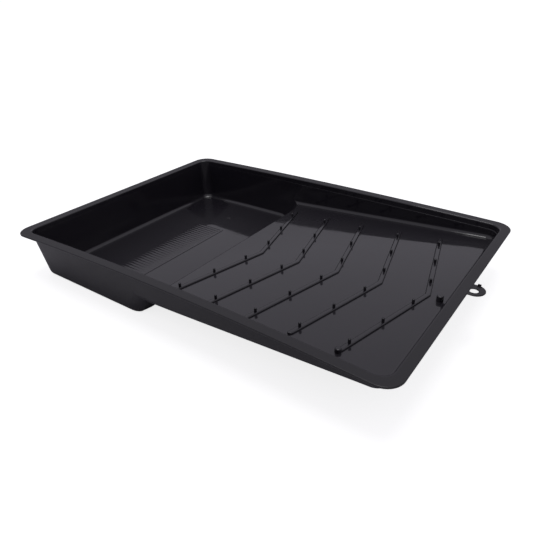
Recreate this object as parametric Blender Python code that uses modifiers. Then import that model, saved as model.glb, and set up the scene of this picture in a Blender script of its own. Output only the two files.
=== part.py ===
"""Paint roller tray for a 230 mm roller: one plastic moulding.

A deep paint well at one end steps up to a long, gently sloping ramp with five chevron ribs. A flat
rim runs all round, with a hanging eye on the shallow end, and two cross-shaped feet under the ramp
hold the tray level.

Frame: +X runs from the well to the ramp's shallow end, +Y across the tray, +Z up.
Origin: on the ground, under the middle of the overall length, hanging eye included. The tray is
modelled about the middle of its rim, and moved to that origin at the end. Units are metres.
"""

import math

import bmesh
import bpy
from mathutils import Matrix, Vector

COLLECTION = "paint_roller_tray"

# Rim and walls
RIM_LENGTH = 0.390
RIM_WIDTH = 0.270
RIM_HEIGHT = 0.047
RIM_FLANGE = 0.009
RIM_CORNER_RADIUS = 0.015
RIM_EDGE_RADIUS = 0.0006
WALL = 0.0018
DRAFT = math.radians(7.5)
LIP_STEP_WIDTH = 0.0008
LIP_STEP_DEPTH = 0.005
WALL_CORNER_RADIUS = 0.010
FLOOR_RADIUS = 0.0045
BASIN_LENGTH = RIM_LENGTH - 2 * (RIM_FLANGE + LIP_STEP_WIDTH)
BASIN_WIDTH = RIM_WIDTH - 2 * (RIM_FLANGE + LIP_STEP_WIDTH)

# Well and ramp
STEP_TOP_X = -0.033
STEP_DRAFT = math.radians(36)
RAMP_DEPTH_AT_STEP = 0.0259
RAMP_SLOPE = 0.062

# Chevron ribs and pegs on the ramp
CHEVRON_COUNT = 5
CHEVRON_PITCH = 0.04105
FIRST_APEX_X = 0.0013
CHEVRON_CENTRE_Y = -0.0036
CHEVRON_SWEEP = 0.258
CHEVRON_HALF_SPAN = 0.099
RIB_WIDTH = 0.0042
RIB_HEIGHT = 0.0012
PEG_RADIUS = 0.00125
PEG_HEIGHT = 0.0036
FIRST_PEG_OFFSET = 0.0183
PEG_PITCH = 0.0349
PEGS_PER_ARM = 3
END_STUD_RADIUS = 0.0026
END_STUD_HEIGHT = 0.0034
POST_RADIUS = 0.0032
POST_HEIGHT = 0.006
POST_X = 0.177
POST_Y = -0.006

# Hanging eye
EYE_RADIUS = 0.0093
EYE_CENTRE = (0.197, 0.0015)
EYE_HOLE_RADIUS = 0.0034
EYE_REACH = EYE_CENTRE[0] + EYE_RADIUS - RIM_LENGTH / 2

# Feet under the ramp
FOOT_X = 0.150
FOOT_Y = 0.060
FOOT_ARM = 0.009
FOOT_WEB = 0.0022

# The long sides stand a little higher, and are drawn in a little, half-way along. The bow starts and
# is complete at these shares of the half width.
RIM_CROWN = 0.0034
SIDE_PINCH = 0.0024
BOW_START = 0.85
BOW_FULL = 0.95

# How far one solid reaches into the next before they are joined
OVERLAP = 0.0009
WELD = 0.00001

# Mesh density and shading
CORNER_SEGMENTS = 6
FLOOR_SEGMENTS = 3
EDGE_SEGMENTS = 2
ROUND_SEGMENTS = 12
SLICE_PITCH = 0.030
SHARP_ANGLE = math.radians(30)
RIM_EDGE_ANGLE = math.radians(60)
FLOOR_NORMAL_Z = -0.5


def ramp_height(x):
    """Height of the ramp's top surface above the ground."""
    return RIM_HEIGHT - RAMP_DEPTH_AT_STEP + (x - STEP_TOP_X) * RAMP_SLOPE


def add_object(name, bm):
    """Turns a bmesh into a linked object."""
    mesh = bpy.data.meshes.new(name)
    bmesh.ops.recalc_face_normals(bm, faces=bm.faces)
    bm.to_mesh(mesh)
    bm.free()
    obj = bpy.data.objects.new(name, mesh)
    bpy.data.collections[COLLECTION].objects.link(obj)
    return obj


def combine(target, tool, operation):
    """Joins the tool to the target, or cuts it away, and removes the tool."""
    modifier = target.modifiers.new(tool.name, "BOOLEAN")
    modifier.operation = operation
    modifier.solver = "EXACT"
    modifier.object = tool
    bake(target)
    bpy.data.objects.remove(tool)


def bake(obj):
    """Replaces an object's mesh by its evaluated mesh, with touching points welded."""
    bpy.context.view_layer.update()
    evaluated = obj.evaluated_get(bpy.context.evaluated_depsgraph_get())
    mesh = bpy.data.meshes.new_from_object(evaluated)
    bm = bmesh.new()
    bm.from_mesh(mesh)
    bmesh.ops.remove_doubles(bm, verts=bm.verts, dist=WELD)
    bmesh.ops.dissolve_degenerate(bm, edges=bm.edges, dist=WELD)
    bm.to_mesh(mesh)
    bm.free()
    obj.modifiers.clear()
    obj.data = mesh


def cut(bm, point, normal, clear_inner=False):
    """Slices a whole bmesh with a plane and returns what lies on the cut."""
    result = bmesh.ops.bisect_plane(
        bm, geom=bm.verts[:] + bm.edges[:] + bm.faces[:], dist=WELD, plane_co=point, plane_no=normal,
        clear_inner=clear_inner,
    )
    return result["geom_cut"]


def floor_stations(offset):
    """(x, height) of the four bends of the floor line, with the surface moved outwards by offset."""
    bottom = WALL - offset
    step_tan = math.tan(STEP_DRAFT)
    wall_tan = math.tan(DRAFT)
    step_shift = offset / math.cos(STEP_DRAFT)
    half_length = BASIN_LENGTH / 2 + offset / math.cos(DRAFT)
    well_x = (RIM_HEIGHT - bottom) * wall_tan - half_length
    foot_x = STEP_TOP_X - (ramp_height(STEP_TOP_X) - bottom) * step_tan + step_shift
    top_x = STEP_TOP_X + (step_shift - offset * step_tan) / (1 - step_tan * RAMP_SLOPE)
    end_depth = RIM_HEIGHT - ramp_height(0) + offset
    end_x = (half_length - end_depth * wall_tan) / (1 - RAMP_SLOPE * wall_tan)
    ramp = [(x, ramp_height(x) - offset) for x in (top_x, end_x)]
    return [(well_x, bottom), (foot_x, bottom)] + ramp


def is_end_upright(edge):
    """Whether an edge of the 2 m cube is one of its four outer uprights."""
    start, end = (vert.co for vert in edge.verts)
    return start.z != end.z and abs(start.x) > 1 - WELD


def basin(name, offset, top):
    """A solid with the shape of the tray's hollow, grown outwards by offset and cut off at top."""
    stations = floor_stations(offset)
    bays = len(stations) - 1
    bm = bmesh.new()
    bmesh.ops.create_cube(bm, size=2)
    for bay in range(1, bays):
        cut(bm, (2 * bay / bays - 1, 0, 0), (1, 0, 0))
    upright = [e for e in bm.edges if is_end_upright(e)]
    for vert in bm.verts:
        station = round((vert.co.x + 1) * bays / 2)
        x, height = stations[station]
        if vert.co.z > 0:
            x += (top - height) * math.tan(DRAFT) * {0: -1, bays: 1}.get(station, 0)
            height = top
        half_width = BASIN_WIDTH / 2 + offset / math.cos(DRAFT) - (RIM_HEIGHT - height) * math.tan(DRAFT)
        vert.co = (x, math.copysign(half_width, vert.co.y), height)
    bmesh.ops.bevel(
        bm, geom=upright, offset=WALL_CORNER_RADIUS + offset, segments=CORNER_SEGMENTS, profile=0.5,
        affect="EDGES",
    )
    bm.normal_update()
    around_floor = [e for e in bm.edges if sum(f.normal.z < FLOOR_NORMAL_Z for f in e.link_faces) == 1]
    bmesh.ops.bevel(
        bm, geom=around_floor, offset=FLOOR_RADIUS + offset, segments=FLOOR_SEGMENTS, profile=0.5,
        affect="EDGES",
    )
    return add_object(name, bm)


def plate(name, outline, bottom, thickness):
    """A flat plate of the given outline, made as a filled curve and turned into a mesh."""
    curve = bpy.data.curves.new(name, "CURVE")
    curve.dimensions = "2D"
    curve.fill_mode = "BOTH"
    curve.extrude = thickness / 2
    spline = curve.splines.new("POLY")
    spline.points.add(len(outline) - 1)
    for point, (x, y) in zip(spline.points, outline):
        point.co = (x, y, 0, 1)
    spline.use_cyclic_u = True
    source = bpy.data.objects.new(name, curve)
    bpy.data.collections[COLLECTION].objects.link(source)
    bpy.context.view_layer.update()
    mesh = bpy.data.meshes.new_from_object(source.evaluated_get(bpy.context.evaluated_depsgraph_get()))
    bpy.data.objects.remove(source)
    bm = bmesh.new()
    bm.from_mesh(mesh)
    bmesh.ops.remove_doubles(bm, verts=bm.verts, dist=WELD)
    bmesh.ops.translate(bm, verts=bm.verts, vec=(0, 0, bottom + thickness / 2))
    return add_object(name, bm)


def arc(centre, radius, start, end, segments):
    """Points along an arc, both ends included."""
    for step in range(segments + 1):
        angle = start + (end - start) * step / segments
        yield centre[0] + radius * math.cos(angle), centre[1] + radius * math.sin(angle)


def rounded_rectangle(half_length, half_width, radius):
    """Outline of a rectangle with round corners, anticlockwise."""
    points = []
    for quarter in range(4):
        x = math.copysign(half_length - radius, (1, -1, -1, 1)[quarter])
        y = math.copysign(half_width - radius, (1, 1, -1, -1)[quarter])
        start = quarter * math.pi / 2
        points += arc((x, y), radius, start, start + math.pi / 2, CORNER_SEGMENTS)
    return points


def rim_flange():
    """The flat rim, still a full plate, with its outer edges rounded."""
    outline = rounded_rectangle(RIM_LENGTH / 2, RIM_WIDTH / 2, RIM_CORNER_RADIUS)
    flange = plate("tray", outline, RIM_HEIGHT - WALL, WALL)
    bevel = flange.modifiers.new("soft_edge", "BEVEL")
    bevel.width = RIM_EDGE_RADIUS
    bevel.segments = EDGE_SEGMENTS
    bevel.limit_method = "ANGLE"
    bevel.angle_limit = RIM_EDGE_ANGLE
    bake(flange)
    return flange


def add_basin(tray):
    """Joins the walls and floor to the rim, then hollows them out, with a fine step below the rim."""
    combine(tray, basin("outside", WALL, RIM_HEIGHT - OVERLAP), "UNION")
    combine(tray, basin("inside", 0, RIM_HEIGHT + WALL), "DIFFERENCE")
    lip = basin("lip", LIP_STEP_WIDTH, RIM_HEIGHT + WALL)
    bm = bmesh.new()
    bm.from_mesh(lip.data)
    rim_loop = cut(bm, (0, 0, RIM_HEIGHT - LIP_STEP_DEPTH), (0, 0, 1), clear_inner=True)
    bmesh.ops.contextual_create(bm, geom=[g for g in rim_loop if isinstance(g, bmesh.types.BMEdge)])
    bmesh.ops.recalc_face_normals(bm, faces=bm.faces)
    bm.to_mesh(lip.data)
    bm.free()
    combine(tray, lip, "DIFFERENCE")


def chevron_apex_x(index):
    """Where the ridge line of a chevron crosses the chevrons' centre line."""
    return FIRST_APEX_X + index * CHEVRON_PITCH


def on_ramp(obj):
    """Tilts an object made about the step's edge so that it lies on the ramp."""
    pivot = Vector((STEP_TOP_X, 0, ramp_height(STEP_TOP_X)))
    tilt = Matrix.Rotation(-math.atan(RAMP_SLOPE), 4, "Y")
    obj.data.transform(Matrix.Translation(pivot) @ tilt @ Matrix.Translation((-STEP_TOP_X, 0, 0)))
    return obj


def add_chevrons(tray):
    """Five V-shaped ribs that point towards the shallow end."""
    sunk = OVERLAP
    half = RIB_WIDTH / 2
    for index in range(CHEVRON_COUNT):
        apex = chevron_apex_x(index)
        tail = apex - CHEVRON_SWEEP * CHEVRON_HALF_SPAN
        low_y = CHEVRON_CENTRE_Y - CHEVRON_HALF_SPAN
        high_y = CHEVRON_CENTRE_Y + CHEVRON_HALF_SPAN
        outline = [
            (tail - half, low_y),
            (tail + half, low_y),
            (apex + half, CHEVRON_CENTRE_Y),
            (tail + half, high_y),
            (tail - half, high_y),
            (apex - half, CHEVRON_CENTRE_Y),
        ]
        rib = plate(f"chevron_{index + 1}", outline, -sunk, sunk + RIB_HEIGHT)
        combine(tray, on_ramp(rib), "UNION")


def upright_cylinder(bm, x, y, bottom, top, radius):
    """Adds an upright cylinder to a bmesh."""
    bmesh.ops.create_cone(
        bm, cap_ends=True, segments=ROUND_SEGMENTS, radius1=radius, radius2=radius,
        depth=top - bottom, matrix=Matrix.Translation((x, y, (top + bottom) / 2)),
    )


def add_pegs(tray):
    """Rows of small pegs on the ribs, a stud on the last rib's end and a post beyond its apex."""
    bm = bmesh.new()
    for index in range(CHEVRON_COUNT):
        for side in (-1, 1):
            for step in range(PEGS_PER_ARM):
                offset = FIRST_PEG_OFFSET + step * PEG_PITCH
                x = chevron_apex_x(index) - CHEVRON_SWEEP * offset
                upright_cylinder(bm, x, CHEVRON_CENTRE_Y + side * offset, 0, PEG_HEIGHT, PEG_RADIUS)
    stud_x = chevron_apex_x(CHEVRON_COUNT - 1) - CHEVRON_SWEEP * CHEVRON_HALF_SPAN
    stud_y = CHEVRON_CENTRE_Y - CHEVRON_HALF_SPAN
    upright_cylinder(bm, stud_x, stud_y, -OVERLAP, END_STUD_HEIGHT, END_STUD_RADIUS)
    upright_cylinder(bm, POST_X, POST_Y, -OVERLAP, POST_HEIGHT, POST_RADIUS)
    combine(tray, on_ramp(add_object("pegs", bm)), "UNION")


def add_hanging_eye(tray):
    """A round lug on the shallow end's rim, with a hole to hang the tray by."""
    root_x = RIM_LENGTH / 2 - RIM_FLANGE / 2
    outline = list(arc(EYE_CENTRE, EYE_RADIUS, -math.pi / 2, math.pi / 2, ROUND_SEGMENTS))
    outline += [(root_x, EYE_CENTRE[1] + EYE_RADIUS), (root_x, EYE_CENTRE[1] - EYE_RADIUS)]
    inset = RIM_EDGE_RADIUS / 2
    lug = plate("lug", outline, RIM_HEIGHT - WALL + inset, WALL - 2 * inset)
    combine(tray, lug, "UNION")
    bm = bmesh.new()
    upright_cylinder(bm, *EYE_CENTRE, RIM_HEIGHT - 2 * WALL, RIM_HEIGHT + WALL, EYE_HOLE_RADIUS)
    combine(tray, add_object("eye_hole", bm), "DIFFERENCE")


def add_feet(tray):
    """Two feet of crossed webs that reach from the ramp's underside to the ground."""
    height = ramp_height(FOOT_X - FOOT_ARM) - WALL + OVERLAP
    for side, y in (("near", -FOOT_Y), ("far", FOOT_Y)):
        for length, width in ((2 * FOOT_ARM, FOOT_WEB), (FOOT_WEB, 2 * FOOT_ARM)):
            bm = bmesh.new()
            size = Matrix.Diagonal((length, width, height, 1))
            bmesh.ops.create_cube(bm, size=1, matrix=Matrix.Translation((FOOT_X, y, height / 2)) @ size)
            combine(tray, add_object(f"{side}_foot_web", bm), "UNION")


def share(value, start, end):
    """How far a value lies from start to end, from 0 to 1."""
    return min(max((value - start) / (end - start), 0), 1)


def settle(tray):
    """Crowns the rim and draws in the long sides, as the moulding does when it cools."""
    bm = bmesh.new()
    bm.from_mesh(tray.data)
    slices = int(RIM_LENGTH / SLICE_PITCH)
    for step in range(1, slices):
        x = -RIM_LENGTH / 2 + step * RIM_LENGTH / slices
        cut(bm, (x, 0, 0), (1, 0, 0))
    for vert in bm.verts:
        floor = ramp_height(vert.co.x) if vert.co.x > STEP_TOP_X else WALL
        up_wall = share(vert.co.z, floor, RIM_HEIGHT - WALL)
        on_side = share(abs(vert.co.y) * 2 / RIM_WIDTH, BOW_START, BOW_FULL)
        bow = up_wall * on_side * max(1 - (2 * vert.co.x / RIM_LENGTH) ** 2, 0)
        vert.co.z += RIM_CROWN * bow
        vert.co.y -= math.copysign(SIDE_PINCH * bow, vert.co.y)
    bmesh.ops.triangulate(bm, faces=[f for f in bm.faces if len(f.verts) > 4])
    bm.to_mesh(tray.data)
    bm.free()


def move_to_origin(tray):
    """Puts the origin under the middle of the overall length."""
    tray.data.transform(Matrix.Translation((-EYE_REACH / 2, 0, 0)))


def black_plastic():
    """Black polypropylene, glossy from the mould."""
    material = bpy.data.materials.new("black_plastic")
    material.use_nodes = True
    shader = material.node_tree.nodes["Principled BSDF"]
    shader.inputs["Base Color"].default_value = (0.012, 0.012, 0.014, 1)
    shader.inputs["Roughness"].default_value = 0.28
    shader.inputs["Metallic"].default_value = 0.0
    return material


def main():
    for obj in list(bpy.data.objects):
        bpy.data.objects.remove(obj)
    bpy.context.scene.collection.children.link(bpy.data.collections.new(COLLECTION))
    tray = rim_flange()
    add_basin(tray)
    add_chevrons(tray)
    add_pegs(tray)
    add_hanging_eye(tray)
    add_feet(tray)
    settle(tray)
    move_to_origin(tray)
    tray.data.materials.clear()
    tray.data.materials.append(black_plastic())
    tray.data.shade_smooth()
    tray.data.set_sharp_from_angle(angle=SHARP_ANGLE)


main()
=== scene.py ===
import math

import bmesh
import bpy
from mathutils import Matrix, Vector


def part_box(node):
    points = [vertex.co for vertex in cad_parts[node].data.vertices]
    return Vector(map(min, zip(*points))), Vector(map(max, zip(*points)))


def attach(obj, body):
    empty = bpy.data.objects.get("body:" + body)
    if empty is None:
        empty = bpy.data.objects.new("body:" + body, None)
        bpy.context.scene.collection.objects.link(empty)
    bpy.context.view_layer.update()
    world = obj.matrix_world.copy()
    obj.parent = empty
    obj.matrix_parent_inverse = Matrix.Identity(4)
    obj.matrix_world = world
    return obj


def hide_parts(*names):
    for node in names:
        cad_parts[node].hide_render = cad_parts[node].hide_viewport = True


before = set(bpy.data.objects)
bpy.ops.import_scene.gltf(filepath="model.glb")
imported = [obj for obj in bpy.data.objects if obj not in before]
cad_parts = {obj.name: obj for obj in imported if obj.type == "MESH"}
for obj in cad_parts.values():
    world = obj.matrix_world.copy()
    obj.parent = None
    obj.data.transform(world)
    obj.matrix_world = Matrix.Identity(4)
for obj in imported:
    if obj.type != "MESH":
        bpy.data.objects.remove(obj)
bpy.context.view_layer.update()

# All sizes are in metres. "From end" is measured from the deep end of the rim.

# The moulding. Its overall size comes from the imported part; these are the sizes inside it.
WALL = 0.0018
DRAFT = math.radians(7.5)
RIM_CROWN = 0.0034
SIDE_PINCH = 0.0024
FLANGE = 0.009
FLANGE_CORNER_RADIUS = 0.015
EDGE_RADIUS = 0.0006
INNER_EDGE_RADIUS = 0.0012
LIP_STEP_WIDTH = 0.0008
LIP_STEP_DEPTH = 0.005
LIP_EDGE_RADIUS = 0.0002
LIP_FADE_FROM_END = (0.080, 0.300)
LIP_FADED_SHARE = 0.12
LIP_RADII_TO_FULL_ROUND = 4
WALL_CORNER_RADIUS = 0.010
FLOOR_FILLET = 0.0045
FLANGE_FILLET = 0.0012

# The floors and the step between them.
RAMP_EDGE_FROM_END = 0.162
RAMP_EDGE_DEPTH = 0.0259
RAMP_SLOPE = 0.062
RAMP_PAST_STRAIGHT = 0.006
STEP_ANGLE = math.radians(54)
STEP_FOOT_RADIUS = 0.0045
STEP_EDGE_RADIUS = 0.0021
STEP_SIDE_RADIUS = 0.012
STEP_SIDE_FADE = 0.030

# Raised features on the ramp.
CHEVRON_COUNT = 5
CHEVRON_PITCH = 0.04105
CHEVRON_FROM_RAMP_EDGE = 0.0343
CHEVRON_CENTRE_Y = -0.0036
CHEVRON_SWEEP = 0.258
CHEVRON_NEAR_SPAN = 0.099
CHEVRON_FAR_SPAN = 0.1035
RIB_WIDTH = 0.0048
RIB_HEIGHT = 0.0014
RIB_EDGE_RADIUS = 0.0012
RIB_END_TURN = 80
PEG_RADIUS = 0.00125
PEG_HEIGHT = 0.0052
PEG_EDGE_SHARE = 0.8
PEG_OFFSETS = (0.0183, 0.0531, 0.0880)
STUD_RADIUS = 0.0026
STUD_HEIGHT = 0.0034
STUD_EDGE_RADIUS = 0.0012
POST_RADIUS = 0.0029
POST_HEIGHT = 0.0043
POST_EDGE_RADIUS = 0.0009
POST_FROM_END = (0.371, -0.006)
UPRIGHT_TAPER = 0.94
SINK = 0.0009

# The hanging eye, with the stub where the moulding was fed.
EYE_RADIUS = 0.0081
EYE_HOLE_RADIUS = 0.0035
EYE_CENTRE_PAST_RIM = (0.0032, 0.0026)
EYE_HOLE_PAST_RIM = (0.0029, 0.0014)
EYE_SINK = 0.0002
EYE_LEAST_SINE = 0.01
GATE_STUB_PAST_RIM = (0.0045, 0.0098)
GATE_STUB_SIZE = (0.0026, 0.0012, 0.0014)
GATE_STUB_CHAMFER = 0.0002

# Fine marks on the well's floor: a crease, a row of shallow bars and a round boss.
CREASE_FROM_END = 0.102
CREASE_WIDTH = 0.0010
CREASE_HEIGHT = 0.0004
MARKS_SPAN = (-0.080, 0.048)
BARS_FROM_END = (0.068, 0.099)
BAR_WIDTH = 0.0030
BAR_HEIGHT = 0.00020
BAR_PITCH = 0.004
BAR_END_SHARE = 0.04
BOSS_FROM_END = (0.0852, 0.0796)
BOSS_RADIUS = 0.0030
BOSS_HEIGHT = 0.0006
LOW_EDGE_SHARE = 0.9

# Feet under the ramp, measured from the middle of the rim.
FOOT_PLACES = ((0.150, -0.060), (0.150, 0.060))
FOOT_ARM = 0.009
FOOT_WEB = 0.0022
FOOT_CHAMFER = 0.0003
FOOT_FLARE = 0.0002

# The bow of the long sides starts and is complete at these shares of the half width.
BOW_START = 0.85
BOW_FULL = 0.95

# Mesh density and shading. The floors' grids stop short of the walls' foot by a share of the corner radius.
GRID_PITCH = 0.010
GRID_CLEARANCE = 0.85
CORNER_STEPS = 10
FILLET_STEPS = 6
ROUND_STEPS = 4
STEP_ROWS = 5
ARM_ROWS = 5
BAR_ROWS = 8
WALL_ROWS = (0.33, 0.66)
PEG_STEPS = 16
STUD_STEPS = 24
EYE_STEPS = 48
WELD = 0.000001
SHARP_ANGLE = math.radians(40)

# Places of the two finishes in the tray's material slots.
GLOSS = 0
SATIN = 1

# Finishes: colours run between two values, and noise is given by the size of its features. A range
# such as SCUFF_RANGE carries noise between its first two values over to the last two.
COLOR_RANGE = (0.3, 0.7, 0.0, 1.0)
GLOSS_COLORS = ((0.0050, 0.0038, 0.0075, 1), (0.0068, 0.0056, 0.0088, 1))
GLOSS_HAZE_ROUGHNESS = 0.55
GLOSS_HAZE_LEVEL = 0.18
GLOSS_COAT_IOR = 1.49
GLOSS_CLOUD_SIZE = 0.045
GLOSS_CLOUD_RANGE = (0.35, 0.70, 0.035, 0.085)
GLOSS_WAVE_SIZE = 0.030
GLOSS_WAVE_DEPTH = 0.00006
SCUFF_SIZE = 0.006
SCUFF_STRETCH = (0.25, 1.6, 1.0)
SCUFF_RANGE = (0.58, 0.75, 0.0, 0.10)
SCUFF_DEPTH = 0.000004
SPECK_SIZE = 0.0012
SPECK_RANGE = (0.60, 0.80, 0.0, 0.05)
SATIN_COLORS = ((0.0066, 0.0058, 0.0080, 1), (0.0088, 0.0080, 0.0100, 1))
SATIN_LEVEL = 0.5
SATIN_CLOUD_SIZE = 0.060
SATIN_CLOUD_RANGE = (0.35, 0.70, 0.30, 0.38)
SATIN_GRAIN_SIZE = 0.0009
SATIN_GRAIN_RANGE = (0.4, 0.7, 0.0, 0.06)
SATIN_GRAIN_DEPTH = 0.00001

# Studio. The sky's brightness goes by elevation in degrees.
FLOOR_SIZE = 16
PAPER_COLOR = (0.62, 0.61, 0.64, 1)
PAPER_GLOW = 0.80
PAPER_SEEN_COLOR = (0.5, 0.5, 0.5, 1)
PAPER_ROUGHNESS = 0.9
PAPER_LEVEL = 0.1
PAPER_TOOTH_SIZE = 0.002
PAPER_TOOTH_STRENGTH = 0.2
PAPER_TOOTH_DEPTH = 0.0001
WHITE = (1, 1, 1, 1)
SKY = ((0, 0.12), (14, 0.12), (24, 0.52), (50, 0.55), (70, 0.45), (90, 0.45))
SKY_TINT = (0.985, 0.955, 1.06)
LAMP_POWER = 12
LAMP_SIZE = 1.0
LAMP_HEIGHT = 2.2

# Camera, aimed at a point in the plane of the rim.
CAMERA_AZIMUTH = math.radians(35.85)
CAMERA_ELEVATION = math.radians(30.64)
CAMERA_ROLL = math.radians(-1.28)
CAMERA_DISTANCE = 0.41214
CAMERA_LENS = 33.63
CAMERA_CLIP_START = 0.01
TARGET_FROM_RIM_MIDDLE = (0.0596, -0.0629)

# The rim's middle is the modelling origin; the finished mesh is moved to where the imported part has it.
low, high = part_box("tray")
half_length = (high.x - low.x - EYE_CENTRE_PAST_RIM[0] - EYE_RADIUS) / 2
rim_middle = low.x + half_length
pinch_at_corner = SIDE_PINCH * (1 - (1 - FLANGE_CORNER_RADIUS / half_length) ** 2)
half_width = high.y + pinch_at_corner
rim_top = high.z - RIM_CROWN
well_floor = WALL
ramp_edge = Vector((RAMP_EDGE_FROM_END - half_length, rim_top - RAMP_EDGE_DEPTH))
ramp_angle = math.atan(RAMP_SLOPE)

# The top of the inner wall, which every loop of the moulding is an offset of.
wall_a = half_length - FLANGE - LIP_STEP_WIDTH
wall_b = half_width - FLANGE - LIP_STEP_WIDTH
deepest_foot = (rim_top - well_floor) * math.tan(DRAFT) + FLOOR_FILLET
straight_x = wall_a - deepest_foot - WALL_CORNER_RADIUS * GRID_CLEARANCE
straight_y = wall_b - deepest_foot - WALL_CORNER_RADIUS * GRID_CLEARANCE


def spread(start, end, pitch):
    """Evenly spaced values from start to end, both included."""
    steps = max(1, round(abs(end - start) / pitch))
    return [start + (end - start) * i / steps for i in range(steps + 1)]


def ease(value, start, end):
    """A smooth rise from 0 at start to 1 at end."""
    t = min(max((value - start) / (end - start), 0.0), 1.0)
    return t * t * (3 - 2 * t)


def floor_line(depth):
    """The floor from the deep end to the shallow end as (x, z), at this depth below the upper surface."""
    foot_x = ramp_edge.x - (ramp_edge.y - well_floor) / math.tan(STEP_ANGLE)
    foot_reach = STEP_FOOT_RADIUS * math.tan(STEP_ANGLE / 2)
    turn = STEP_ANGLE - ramp_angle
    edge_reach = STEP_EDGE_RADIUS * math.tan(turn / 2)
    along_step = Vector((math.cos(STEP_ANGLE), math.sin(STEP_ANGLE)))
    line = [(x, well_floor, 0.0) for x in spread(-straight_x, foot_x - foot_reach, GRID_PITCH)[:-1]]
    for i in range(FILLET_STEPS + 1):
        angle = STEP_ANGLE * i / FILLET_STEPS
        x = foot_x - foot_reach + STEP_FOOT_RADIUS * math.sin(angle)
        line.append((x, well_floor + STEP_FOOT_RADIUS * (1 - math.cos(angle)), angle))
    face_end = ramp_edge - along_step * edge_reach
    face_start = Vector(line[-1][:2])
    for i in range(1, STEP_ROWS):
        point = face_start.lerp(face_end, i / STEP_ROWS)
        line.append((point.x, point.y, STEP_ANGLE))
    off_face = Vector((math.sin(STEP_ANGLE), -math.cos(STEP_ANGLE)))
    centre = face_end + off_face * STEP_EDGE_RADIUS
    for i in range(FILLET_STEPS + 1):
        angle = STEP_ANGLE - turn * i / FILLET_STEPS
        point = centre + Vector((-math.sin(angle), math.cos(angle))) * STEP_EDGE_RADIUS
        line.append((point.x, point.y, angle))
    for x in spread(line[-1][0], straight_x, GRID_PITCH)[1:]:
        line.append((x, ramp_edge.y + (x - ramp_edge.x) * RAMP_SLOPE, ramp_angle))
    return [(x + depth * math.sin(a), z - depth * math.cos(a)) for x, z, a in line]


def floor_height(x, depth):
    """The floor's height away from the step."""
    if x < ramp_edge.x:
        return well_floor - depth
    return ramp_edge.y + (x - ramp_edge.x) * RAMP_SLOPE - depth / math.cos(ramp_angle)


def stations(depth):
    """Once around the tray: (kind, place along the side or angle in the corner, signs, floor height)."""
    line = floor_line(depth)
    rows = spread(-straight_y, straight_y, GRID_PITCH)
    low_end = floor_height(-straight_x, depth)
    high_end = floor_height(straight_x + RAMP_PAST_STRAIGHT, depth)
    around = [("side", x, (0, -1), z) for x, z in line]
    around += corner(0, (1, -1), high_end)
    around += [("end", y, (1, 0), high_end) for y in rows]
    around += corner(1, (1, 1), high_end)
    around += [("side", x, (0, 1), z) for x, z in reversed(line)]
    around += corner(2, (-1, 1), low_end)
    around += [("end", y, (-1, 0), low_end) for y in reversed(rows)]
    around += corner(3, (-1, -1), low_end)
    return around


def corner(quarter, signs, z):
    """The stations around one corner."""
    start = math.radians(90) * (quarter - 1)
    turns = [start + math.radians(90) * i / CORNER_STEPS for i in range(CORNER_STEPS + 1)]
    return [("corner", turn, signs, z) for turn in turns]


def place(station, offset, radius):
    """Where a loop that lies this far outside the top of the inner wall passes a station."""
    kind, along, signs, _ = station
    a, b = wall_a + offset, wall_b + offset
    if kind == "side":
        return along, signs[1] * b
    if kind == "end":
        return signs[0] * a, along
    return (
        signs[0] * (a - radius) + radius * math.cos(along),
        signs[1] * (b - radius) + radius * math.sin(along),
    )


def wall_section(level, fillet):
    """The fillet and the drafted wall over a floor at this level: (offset, height, corner radius change)."""
    lean = math.tan(DRAFT)
    depth = rim_top - level
    centre = -depth * lean + fillet * lean - fillet / math.cos(DRAFT)
    section = []
    for i in range(FILLET_STEPS + 1):
        angle = -math.pi / 2 + (math.pi / 2 - DRAFT) * i / FILLET_STEPS
        height = level + fillet + fillet * math.sin(angle)
        offset = centre + fillet * math.cos(angle)
        section.append((offset, height, offset + (rim_top - height) * lean))
    return section


def lip_width(x):
    """The fine step below the rim, which fades out along the sides towards the well."""
    start, end = (from_end - half_length for from_end in LIP_FADE_FROM_END)
    return LIP_STEP_WIDTH * (LIP_FADED_SHARE + (1 - LIP_FADED_SHARE) * ease(x, start, end))


def inner_section(level, x):
    """From the floor up the inner wall to the lip."""
    lean = math.tan(DRAFT)
    section = wall_section(level, FLOOR_FILLET)
    lip = rim_top - LIP_STEP_DEPTH
    top_of_fillet = section[-1][1]
    hidden = LIP_STEP_WIDTH - lip_width(x)
    for share in WALL_ROWS:
        height = top_of_fillet + (lip - LIP_EDGE_RADIUS - top_of_fillet) * share
        section.append((hidden * share - (rim_top - height) * lean, height, 0.0))
    step = LIP_STEP_WIDTH
    at_lip = LIP_STEP_WIDTH - lip_width(x) - LIP_STEP_DEPTH * lean
    round_share = min(1.0, lip_width(x) / (LIP_RADII_TO_FULL_ROUND * LIP_EDGE_RADIUS))
    edge = LIP_EDGE_RADIUS * round_share
    top = -LIP_STEP_DEPTH * lean + step
    section += [
        (at_lip - edge * lean, lip - edge, 0.0),
        (at_lip + edge, lip, edge),
        (top - edge, lip, step - edge),
        (top, lip + edge, step),
    ]
    return section


def rounded(centre_offset, centre_height, radius, start, end, growth):
    """An edge rounding as section points, between two angles in degrees."""
    points = []
    for i in range(ROUND_STEPS + 1):
        angle = math.radians(start + (end - start) * i / ROUND_STEPS)
        offset = centre_offset + radius * math.cos(angle)
        points.append((offset, centre_height + radius * math.sin(angle), growth))
    return points


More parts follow.
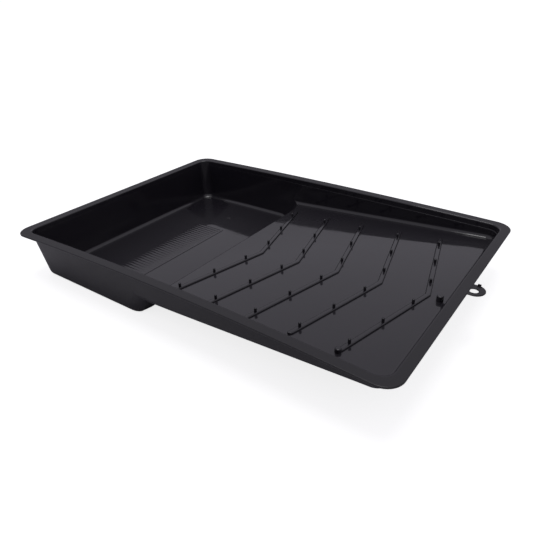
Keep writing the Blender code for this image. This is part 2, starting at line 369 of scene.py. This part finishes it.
def flange_section():
    """Over the rim: inner edge, flat flange, outer edge and underside, down to the outer wall."""
    r = EDGE_RADIUS
    inner = LIP_STEP_WIDTH
    outer = LIP_STEP_WIDTH + FLANGE
    growth = FLANGE_CORNER_RADIUS - WALL_CORNER_RADIUS
    section = rounded(
        inner + INNER_EDGE_RADIUS, rim_top - INNER_EDGE_RADIUS, INNER_EDGE_RADIUS, 180, 90, inner
    )
    section += rounded(outer - r, rim_top - r, r, 90, 0, growth)
    section += rounded(outer - r, rim_top - WALL + r, r, 0, -90, growth)
    wall = WALL / math.cos(DRAFT) - (WALL + FLANGE_FILLET) * math.tan(DRAFT)
    section += rounded(
        wall + FLANGE_FILLET, rim_top - WALL - FLANGE_FILLET, FLANGE_FILLET, 90, 180, WALL
    )
    return section


def outer_section(level):
    """From under the flange down the outer wall and around to the underside."""
    lean = math.tan(DRAFT)
    fillet = wall_section(level, FLOOR_FILLET + WALL)
    shift = WALL / math.cos(DRAFT)
    fillet = [(o + shift, h, g + shift) for o, h, g in fillet]
    start = rim_top - WALL - FLANGE_FILLET
    section = []
    for share in WALL_ROWS:
        height = start + (fillet[-1][1] - start) * share
        section.append((shift - (rim_top - height) * lean, height, shift))
    return section + fillet[::-1]


def side_shift(station, y, height, depth):
    """How much nearer the deep end the step's face lies beside the side walls, where it turns."""
    _, x, _, level = station
    wall = wall_b - (rim_top - level) * math.tan(DRAFT)
    turned = min(max(y - depth - (wall - STEP_SIDE_RADIUS), 0.0), STEP_SIDE_RADIUS)
    shift = STEP_SIDE_RADIUS - math.sqrt(STEP_SIDE_RADIUS ** 2 - turned ** 2)
    middle = ramp_edge.x - (ramp_edge.y - well_floor) / 2 / math.tan(STEP_ANGLE)
    near_step = 1 - ease(abs(x - middle), STEP_SIDE_FADE / 2, STEP_SIDE_FADE * 1.5)
    up_wall = ease(height, level + FLOOR_FILLET, rim_top - LIP_STEP_DEPTH)
    return shift * near_step * (1 - up_wall)


def build_shell():
    """The moulding's skin: sections from the floor over the rim to the underside, and both floors."""
    bm = bmesh.new()
    loops = []
    for inner_station, outer_station in zip(stations(0.0), stations(WALL)):
        x = place(inner_station, 0.0, WALL_CORNER_RADIUS)[0]
        column = [(inner_station, p, 0.0) for p in inner_section(inner_station[3], x)]
        column += [(inner_station, p, 0.0) for p in flange_section()]
        column += [(outer_station, p, WALL) for p in outer_section(outer_station[3])]
        verts = []
        for station, (offset, height, growth), depth in column:
            x, y = place(station, offset, WALL_CORNER_RADIUS + growth)
            if station[0] == "side":
                x -= side_shift(station, abs(y), height, depth)
            verts.append(bm.verts.new((x, y, height)))
        loops.append(verts)
    count = len(loops)
    polished = len(inner_section(well_floor, 0.0)) + ROUND_STEPS
    for i, verts in enumerate(loops):
        following = loops[(i + 1) % count]
        for j in range(len(verts) - 1):
            face = bm.faces.new((verts[j], verts[j + 1], following[j + 1], following[j]))
            face.material_index = GLOSS if j < polished else SATIN
    close_floor(bm, [v[0] for v in loops], 0.0, GLOSS)
    close_floor(bm, [v[-1] for v in loops], WALL, SATIN)
    bmesh.ops.remove_doubles(bm, verts=bm.verts, dist=WELD)
    bmesh.ops.recalc_face_normals(bm, faces=bm.faces)
    return bm


def close_floor(bm, ring, depth, finish):
    """A grid of quads across a floor, joined to the loop around it."""
    line = floor_line(depth)
    rows = spread(-straight_y, straight_y, GRID_PITCH)
    grid = [[bm.verts.new((x, y, z)) for x, z in line] for y in rows]
    corners = []
    for j in range(len(rows) - 1):
        for i in range(len(line) - 1):
            corners.append((grid[j][i], grid[j][i + 1], grid[j + 1][i + 1], grid[j + 1][i]))
    nx, ny, nc = len(line), len(rows), CORNER_STEPS + 1
    south = ring[:nx]
    east = ring[nx + nc:nx + nc + ny]
    north = ring[nx + 2 * nc + ny:2 * nx + 2 * nc + ny][::-1]
    west = ring[2 * nx + 3 * nc + ny:2 * nx + 3 * nc + 2 * ny][::-1]
    sides = [
        (south, grid[0]),
        (north, grid[-1]),
        (east, [row[-1] for row in grid]),
        (west, [row[0] for row in grid]),
    ]
    for outer, inner in sides:
        for i in range(len(outer) - 1):
            corners.append((outer[i], outer[i + 1], inner[i + 1], inner[i]))
    fans = [
        ([south[-1]] + ring[nx:nx + nc] + [east[0]], grid[0][-1]),
        ([east[-1]] + ring[nx + nc + ny:nx + 2 * nc + ny] + [north[-1]], grid[-1][-1]),
        ([north[0]] + ring[2 * nx + 2 * nc + ny:2 * nx + 3 * nc + ny] + [west[-1]], grid[-1][0]),
        ([west[0]] + ring[2 * nx + 3 * nc + 2 * ny:] + [south[0]], grid[0][0]),
    ]
    for arc, hub in fans:
        for i in range(len(arc) - 1):
            corners.append((arc[i], arc[i + 1], hub))
    for face in corners:
        bm.faces.new(face).material_index = finish


def add_prism(bm, rows):
    """A closed body lofted through rows of equally many points, with a flat face at each end."""
    loops = [[bm.verts.new(point) for point in row] for row in rows]
    for first, second in zip(loops, loops[1:]):
        for i in range(len(first)):
            j = (i + 1) % len(first)
            bm.faces.new((first[i], first[j], second[j], second[i]))
    bm.faces.new(loops[0][::-1])
    bm.faces.new(loops[-1])


def bar_section(width, height, edge):
    """A low bar's outline as (across, up), with rounded top edges, sunk at the bottom."""
    half = width / 2
    points = [(half, -SINK)]
    for centre, start in ((half - edge, 0), (edge - half, 90)):
        for i in range(ROUND_STEPS + 1):
            angle = math.radians(start + 90 * i / ROUND_STEPS)
            up = height - edge + edge * math.sin(angle)
            points.append((centre + edge * math.cos(angle), up))
    return points + [(-half, -SINK)]


def dome_section(width, height):
    """A shallow dome's outline as (across, up), sunk at the bottom."""
    radius = (width ** 2 / 4 + height ** 2) / (2 * height)
    reach = math.asin(min(1.0, width / 2 / radius))
    points = [(width / 2, -SINK)]
    for i in range(ROUND_STEPS * 2 + 1):
        angle = reach * (1 - i / ROUND_STEPS)
        points.append((radius * math.sin(angle), height - radius * (1 - math.cos(angle))))
    return points + [(-width / 2, -SINK)]


def rib_line(apex):
    """Where a chevron's middle runs, as (x, y, share of the full width), with rounded ends."""
    reach = RIB_WIDTH / 2
    line = []
    for side, span in ((-1, CHEVRON_NEAR_SPAN), (1, CHEVRON_FAR_SPAN)):
        turns = [math.radians(RIB_END_TURN * (1 - i / ROUND_STEPS)) for i in range(ROUND_STEPS + 1)]
        arm = [(span - reach * (1 - math.sin(turn)), math.cos(turn)) for turn in turns]
        arm += [(span * i / ARM_ROWS, 1.0) for i in range(ARM_ROWS - 1, 0, -1)]
        points = [(apex - CHEVRON_SWEEP * d, CHEVRON_CENTRE_Y + side * d, w) for d, w in arm]
        line += points if side < 0 else [(apex, CHEVRON_CENTRE_Y, 1.0)] + points[::-1]
    return line


def ramp_top(x):
    """Height of the ramp's upper surface."""
    return floor_height(x, 0.0)


def chevron_apex(index):
    """Where a chevron's point lies, along the tray."""
    return ramp_edge.x + CHEVRON_FROM_RAMP_EDGE + index * CHEVRON_PITCH


def build_ribs():
    """The chevron ribs, which follow the ramp's slope."""
    bm = bmesh.new()
    section = bar_section(RIB_WIDTH, RIB_HEIGHT, RIB_EDGE_RADIUS)
    for index in range(CHEVRON_COUNT):
        rows = []
        for x, y, width in rib_line(chevron_apex(index)):
            places = [(x + across * width, up) for across, up in section]
            rows.append([(place_x, y, ramp_top(place_x) + up) for place_x, up in places])
        add_prism(bm, rows)
    return bm


def add_turned(bm, x, y, base, profile, steps):
    """A turned body at a place, from (radius, height) pairs, closed above and below."""
    angles = [math.tau * i / steps for i in range(steps)]
    rows = []
    for radius, height in profile:
        z = base + height
        rows.append([(x + radius * math.cos(a), y + radius * math.sin(a), z) for a in angles])
    add_prism(bm, rows)


def domed(radius, height, edge):
    """Profile of a small upright whose top edge is rounded down from a small flat."""
    top = radius * UPRIGHT_TAPER
    profile = [(radius, -SINK), (radius, 0.0)]
    for i in range(ROUND_STEPS + 1):
        angle = math.radians(90) * i / (ROUND_STEPS + 0.5)
        up = height - edge + edge * math.sin(angle)
        profile.append((top - edge + edge * math.cos(angle), up))
    return profile


def build_pegs():
    """Pegs along the ribs, the stud on the last rib's near end and the post beyond its apex."""
    bm = bmesh.new()
    peg = domed(PEG_RADIUS, PEG_HEIGHT, PEG_RADIUS * PEG_EDGE_SHARE)
    for index in range(CHEVRON_COUNT):
        for side in (-1, 1):
            for offset in PEG_OFFSETS:
                x = chevron_apex(index) - CHEVRON_SWEEP * offset
                add_turned(bm, x, CHEVRON_CENTRE_Y + side * offset, ramp_top(x), peg, PEG_STEPS)
    stud = domed(STUD_RADIUS, STUD_HEIGHT, STUD_EDGE_RADIUS)
    stud_x = chevron_apex(CHEVRON_COUNT - 1) - CHEVRON_SWEEP * CHEVRON_NEAR_SPAN
    stud_y = CHEVRON_CENTRE_Y - CHEVRON_NEAR_SPAN
    add_turned(bm, stud_x, stud_y, ramp_top(stud_x), stud, STUD_STEPS)
    post = domed(POST_RADIUS, POST_HEIGHT, POST_EDGE_RADIUS)
    post_x = POST_FROM_END[0] - half_length
    add_turned(bm, post_x, POST_FROM_END[1], ramp_top(post_x), post, STUD_STEPS)
    return bm


def add_bar(bm, start, end, y):
    """One shallow bar on the well's floor, fading out at both ends."""
    rows = []
    for i in range(BAR_ROWS + 1):
        share = i / BAR_ROWS
        arch = math.sin(math.pi * (BAR_END_SHARE + (1 - 2 * BAR_END_SHARE) * share))
        section = dome_section(BAR_WIDTH, BAR_HEIGHT * arch ** 0.5)
        x = start + (end - start) * share
        rows.append([(x, y + across, well_floor + up) for across, up in section])
    add_prism(bm, rows)


def build_marks():
    """The fine marks moulded into the well's floor."""
    bm = bmesh.new()
    crease_x = CREASE_FROM_END - half_length
    section = bar_section(CREASE_WIDTH, CREASE_HEIGHT, CREASE_HEIGHT * LOW_EDGE_SHARE)
    add_prism(bm, [[(crease_x + a, y, well_floor + u) for a, u in section] for y in MARKS_SPAN])
    start, end = (from_end - half_length for from_end in BARS_FROM_END)
    for y in spread(MARKS_SPAN[0] + BAR_PITCH / 2, MARKS_SPAN[1] - BAR_PITCH / 2, BAR_PITCH):
        add_bar(bm, start, end, y)
    boss = domed(BOSS_RADIUS, BOSS_HEIGHT, BOSS_HEIGHT * LOW_EDGE_SHARE)
    add_turned(bm, BOSS_FROM_END[0] - half_length, BOSS_FROM_END[1], well_floor, boss, STUD_STEPS)
    return bm


def eye_reach(angle):
    """How far the lug's outline lies from its centre: round outside, square where it meets the flange."""
    if math.cos(angle) >= 0:
        return EYE_RADIUS
    root = EYE_CENTRE_PAST_RIM[0] + FLANGE / 2
    return min(EYE_RADIUS / max(abs(math.sin(angle)), EYE_LEAST_SINE), root / abs(math.cos(angle)))


def build_eye():
    """The hanging eye: a flat lug around a hole, rounded at both edges, rooted in the flange."""
    bm = bmesh.new()
    centre = Vector((half_length + EYE_CENTRE_PAST_RIM[0], EYE_CENTRE_PAST_RIM[1]))
    hole = Vector((half_length + EYE_HOLE_PAST_RIM[0], EYE_HOLE_PAST_RIM[1]))
    top, bottom = rim_top - EYE_SINK, rim_top - WALL + EYE_SINK
    turns = [math.radians(90) * i / ROUND_STEPS for i in range(ROUND_STEPS + 1)]
    upper = [(EDGE_RADIUS * (1 - math.cos(t)), top - EDGE_RADIUS * (1 - math.sin(t))) for t in turns]
    lower = [(inset, top + bottom - z) for inset, z in upper]
    around = [math.tau * k / EYE_STEPS for k in range(EYE_STEPS)]
    outlines = []
    for inset, z in lower[::-1] + upper:
        outlines.append((centre, z, [eye_reach(angle) - inset for angle in around]))
    for inset, z in upper[::-1] + lower:
        outlines.append((hole, z, [EYE_HOLE_RADIUS + inset for angle in around]))
    rows = []
    for middle, z, radii in outlines:
        points = [middle + Vector((math.cos(a), math.sin(a))) * r for a, r in zip(around, radii)]
        rows.append([bm.verts.new((*point, z)) for point in points])
    for first, second in zip(rows, rows[1:] + rows[:1]):
        for k in range(EYE_STEPS):
            n = (k + 1) % EYE_STEPS
            bm.faces.new((first[k], first[n], second[n], second[k]))
    return bm


def box_row(x, y, a, b, z):
    """Four corners of an upright bar at one height."""
    return [(x - a, y - b, z), (x + a, y - b, z), (x + a, y + b, z), (x - a, y + b, z)]


def build_gate_stub():
    """The small square stub left on the eye where the moulding was fed."""
    bm = bmesh.new()
    length, width, height = GATE_STUB_SIZE
    x = half_length + GATE_STUB_PAST_RIM[0]
    y = GATE_STUB_PAST_RIM[1]
    top = rim_top + height - EYE_SINK
    inset = GATE_STUB_CHAMFER
    add_prism(bm, [
        box_row(x, y, length / 2, width / 2, rim_top - WALL / 2),
        box_row(x, y, length / 2, width / 2, top - inset),
        box_row(x, y, length / 2 - inset, width / 2 - inset, top),
    ])
    return bm


def build_foot_webs(along_x):
    """One web of each foot, from the ground into the ramp's underside."""
    bm = bmesh.new()
    a, b = (FOOT_ARM, FOOT_WEB / 2) if along_x else (FOOT_WEB / 2, FOOT_ARM)
    for x, y in FOOT_PLACES:
        top = ramp_top(x - a) - WALL / 2
        add_prism(bm, [
            box_row(x, y, a - FOOT_CHAMFER, b - FOOT_CHAMFER, 0.0),
            box_row(x, y, a, b, FOOT_CHAMFER),
            box_row(x, y, a + FOOT_FLARE, b + FOOT_FLARE, top),
        ])
    return bm


def to_object(bm, name, finish=None):
    """Turns a bmesh into a linked object, in one finish or with the finishes its faces already have."""
    bmesh.ops.recalc_face_normals(bm, faces=bm.faces)
    if finish is not None:
        for face in bm.faces:
            face.material_index = finish
    mesh = bpy.data.meshes.new(name)
    bm.to_mesh(mesh)
    bm.free()
    for material in finishes:
        mesh.materials.append(material)
    obj = bpy.data.objects.new(name, mesh)
    bpy.context.scene.collection.objects.link(obj)
    return obj


def join(target, tool):
    """Makes the tool one body with the target."""
    modifier = target.modifiers.new(tool.name, "BOOLEAN")
    modifier.operation = "UNION"
    modifier.solver = "EXACT"
    modifier.object = tool
    bpy.context.view_layer.update()
    evaluated = target.evaluated_get(bpy.context.evaluated_depsgraph_get())
    mesh = bpy.data.meshes.new_from_object(evaluated)
    target.modifiers.clear()
    target.data = mesh
    bpy.data.objects.remove(tool)


def bow(obj):
    """Crowns the rim and draws in the long sides, then moves the mesh from the rim's middle to its place."""
    for vert in obj.data.vertices:
        x, y, z = vert.co
        bottom = floor_height(x, 0.0)
        up_wall = min(max((z - bottom) / (rim_top - WALL - bottom), 0.0), 1.0)
        on_side = ease(abs(y) / half_width, BOW_START, BOW_FULL)
        amount = up_wall * on_side * max(1 - (x / half_length) ** 2, 0.0)
        vert.co.z += RIM_CROWN * amount
        vert.co.y -= math.copysign(SIDE_PINCH * amount, y)
        vert.co.x += rim_middle


def new_material(name):
    """A node material, its node tree, its shader and object coordinates in metres."""
    material = bpy.data.materials.new(name)
    material.use_nodes = True
    tree = material.node_tree
    position = add_node(tree, "ShaderNodeTexCoord", {}).outputs["Object"]
    return material, tree, tree.nodes["Principled BSDF"], position


def set_inputs(tree, node, inputs):
    """Sets a node's inputs to values, or links them from other nodes' outputs."""
    for name, value in inputs.items():
        if isinstance(value, bpy.types.NodeSocket):
            tree.links.new(value, node.inputs[name])
        else:
            node.inputs[name].default_value = value


def add_node(tree, kind, inputs):
    """A new node with the given inputs, by name or by number."""
    node = tree.nodes.new(kind)
    set_inputs(tree, node, inputs)
    return node


def noise(tree, position, feature_size, detail=2.0, stretch=(1, 1, 1)):
    """Noise from 0 to 1 whose features are about this many metres across."""
    scaled = add_node(tree, "ShaderNodeMapping", {"Vector": position, "Scale": stretch})
    inputs = {"Vector": scaled.outputs["Vector"], "Scale": 1 / feature_size, "Detail": detail}
    return add_node(tree, "ShaderNodeTexNoise", inputs).outputs["Fac"]


def remap(tree, value, ranges):
    """Carries a value's range over to another range, held at both ends."""
    start, end, at_start, at_end = ranges
    inputs = {"Value": value, "From Min": start, "From Max": end, "To Min": at_start, "To Max": at_end}
    return add_node(tree, "ShaderNodeMapRange", inputs).outputs["Result"]


def add(tree, first, second):
    """The sum of two values."""
    node = add_node(tree, "ShaderNodeMath", {0: first, 1: second})
    node.operation = "ADD"
    return node.outputs["Value"]


def mix_colors(tree, share, colors):
    """A colour between two."""
    inputs = {"Fac": share, "Color1": colors[0], "Color2": colors[1]}
    return add_node(tree, "ShaderNodeMixRGB", inputs).outputs["Color"]


def bump(tree, height, depth, normal=None, strength=1.0):
    """A surface relief of the given depth, over another one where given."""
    inputs = {"Height": height, "Strength": strength, "Distance": depth}
    if normal is not None:
        inputs["Normal"] = normal
    return add_node(tree, "ShaderNodeBump", inputs).outputs["Normal"]


def gloss_plastic():
    """Black plastic off a polished tool: a sharp reflection over a weak haze, slightly waved and scuffed."""
    material, tree, shader, position = new_material("black_plastic_gloss")
    mottle = noise(tree, position, GLOSS_CLOUD_SIZE, detail=4.0)
    scuffs = noise(tree, position, SCUFF_SIZE, detail=5.0, stretch=SCUFF_STRETCH)
    waves = noise(tree, position, GLOSS_WAVE_SIZE, detail=1.0)
    specks = noise(tree, position, SPECK_SIZE, detail=2.0)
    clouds = remap(tree, mottle, GLOSS_CLOUD_RANGE)
    rubbed = remap(tree, scuffs, SCUFF_RANGE)
    dusty = remap(tree, specks, SPECK_RANGE)
    relief = bump(tree, scuffs, SCUFF_DEPTH, bump(tree, waves, GLOSS_WAVE_DEPTH))
    set_inputs(tree, shader, {
        "Base Color": mix_colors(tree, remap(tree, mottle, COLOR_RANGE), GLOSS_COLORS),
        "Roughness": GLOSS_HAZE_ROUGHNESS,
        "Specular IOR Level": GLOSS_HAZE_LEVEL,
        "Coat Weight": 1.0,
        "Coat IOR": GLOSS_COAT_IOR,
        "Coat Roughness": add(tree, add(tree, clouds, rubbed), dusty),
        "Normal": relief,
        "Coat Normal": relief,
    })
    return material


def satin_plastic():
    """The same plastic off an etched tool: a broad soft reflection with a fine grain."""
    material, tree, shader, position = new_material("black_plastic_satin")
    mottle = noise(tree, position, SATIN_CLOUD_SIZE, detail=3.0)
    grain = noise(tree, position, SATIN_GRAIN_SIZE, detail=3.0)
    clouds = remap(tree, mottle, SATIN_CLOUD_RANGE)
    set_inputs(tree, shader, {
        "Base Color": mix_colors(tree, remap(tree, mottle, COLOR_RANGE), SATIN_COLORS),
        "Roughness": add(tree, clouds, remap(tree, grain, SATIN_GRAIN_RANGE)),
        "Specular IOR Level": SATIN_LEVEL,
        "Normal": bump(tree, grain, SATIN_GRAIN_DEPTH),
    })
    return material


def white_paper():
    """The floor: nearly white with a soft contact shadow to the camera, pale grey in reflections."""
    material, tree, shader, position = new_material("studio_floor")
    tooth = noise(tree, position, PAPER_TOOTH_SIZE, detail=3.0)
    set_inputs(tree, shader, {
        "Base Color": PAPER_COLOR,
        "Roughness": PAPER_ROUGHNESS,
        "Specular IOR Level": PAPER_LEVEL,
        "Normal": bump(tree, tooth, PAPER_TOOTH_DEPTH, strength=PAPER_TOOTH_STRENGTH),
    })
    seen = add_node(tree, "ShaderNodeBsdfDiffuse", {"Color": PAPER_SEEN_COLOR})
    glow = add_node(tree, "ShaderNodeEmission", {"Color": WHITE, "Strength": PAPER_GLOW})
    paper = add_node(tree, "ShaderNodeAddShader", {0: seen.outputs["BSDF"], 1: glow.outputs["Emission"]})
    path = add_node(tree, "ShaderNodeLightPath", {})
    mix = add_node(tree, "ShaderNodeMixShader", {
        "Fac": path.outputs["Is Camera Ray"],
        1: shader.outputs["BSDF"],
        2: paper.outputs["Shader"],
    })
    tree.links.new(mix.outputs["Shader"], tree.nodes["Material Output"].inputs["Surface"])
    return material


def build_tray():
    """The whole tray as one closed mesh."""
    tray = to_object(build_shell(), "paint_tray")
    for tool in (
        to_object(build_ribs(), "ribs", GLOSS),
        to_object(build_pegs(), "pegs", GLOSS),
        to_object(build_marks(), "marks", GLOSS),
        to_object(build_eye(), "eye", SATIN),
        to_object(build_gate_stub(), "gate_stub", SATIN),
        to_object(build_foot_webs(True), "webs_x", SATIN),
        to_object(build_foot_webs(False), "webs_y", SATIN),
    ):
        join(tray, tool)
    bow(tray)
    tray.data.shade_smooth()
    tray.data.set_sharp_from_angle(angle=SHARP_ANGLE)
    weighted = tray.modifiers.new("flat_faces_stay_flat", "WEIGHTED_NORMAL")
    weighted.keep_sharp = True
    return tray


def build_floor():
    """A plain pale floor at the origin's height."""
    bpy.ops.mesh.primitive_plane_add(size=FLOOR_SIZE, location=(0, 0, 0))
    ground = bpy.context.object
    ground.name = "studio_floor"
    ground.data.materials.append(white_paper())
    return ground


def light_studio():
    """A soft sky that the camera itself sees as white, and a lamp overhead."""
    world = bpy.data.worlds.new("studio")
    bpy.context.scene.world = world
    world.use_nodes = True
    tree = world.node_tree
    direction = add_node(tree, "ShaderNodeTexCoord", {}).outputs["Generated"]
    height = add_node(tree, "ShaderNodeSeparateXYZ", {"Vector": direction}).outputs["Z"]
    gradient = add_node(tree, "ShaderNodeValToRGB", {"Fac": height})
    while len(gradient.color_ramp.elements) < len(SKY):
        gradient.color_ramp.elements.new(0.5)
    for element, (degrees, brightness) in zip(gradient.color_ramp.elements, SKY):
        element.position = math.sin(math.radians(degrees))
        element.color = (*(brightness * share for share in SKY_TINT), 1)
    path = add_node(tree, "ShaderNodeLightPath", {})
    seen = mix_colors(tree, path.outputs["Is Camera Ray"], (gradient.outputs["Color"], WHITE))
    set_inputs(tree, tree.nodes["Background"], {"Color": seen})
    lamp = bpy.data.lights.new("overhead", "AREA")
    lamp.energy = LAMP_POWER
    lamp.size = LAMP_SIZE
    holder = bpy.data.objects.new("overhead", lamp)
    holder.location = (0, 0, LAMP_HEIGHT)
    bpy.context.scene.collection.objects.link(holder)


def place_camera():
    """A camera on the near side, looking down across the ramp to the well."""
    target = Vector((rim_middle + TARGET_FROM_RIM_MIDDLE[0], TARGET_FROM_RIM_MIDDLE[1], rim_top))
    forward = Vector((
        -math.sin(CAMERA_AZIMUTH) * math.cos(CAMERA_ELEVATION),
        math.cos(CAMERA_AZIMUTH) * math.cos(CAMERA_ELEVATION),
        -math.sin(CAMERA_ELEVATION),
    ))
    level = Vector((math.cos(CAMERA_AZIMUTH), math.sin(CAMERA_AZIMUTH), 0))
    right = level * math.cos(CAMERA_ROLL) + level.cross(forward) * math.sin(CAMERA_ROLL)
    turn = Matrix((right, right.cross(forward), -forward)).transposed().to_4x4()
    lens = bpy.data.cameras.new("camera")
    lens.lens = CAMERA_LENS
    lens.clip_start = CAMERA_CLIP_START
    camera = bpy.data.objects.new("camera", lens)
    camera.matrix_world = Matrix.Translation(target - forward * CAMERA_DISTANCE) @ turn
    bpy.context.scene.collection.objects.link(camera)
    bpy.context.scene.camera = camera
    bpy.context.scene.view_settings.view_transform = "Standard"


finishes = (gloss_plastic(), satin_plastic())

tray = build_tray()
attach(tray, "root")
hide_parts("tray")

build_floor()
light_studio()
place_camera()
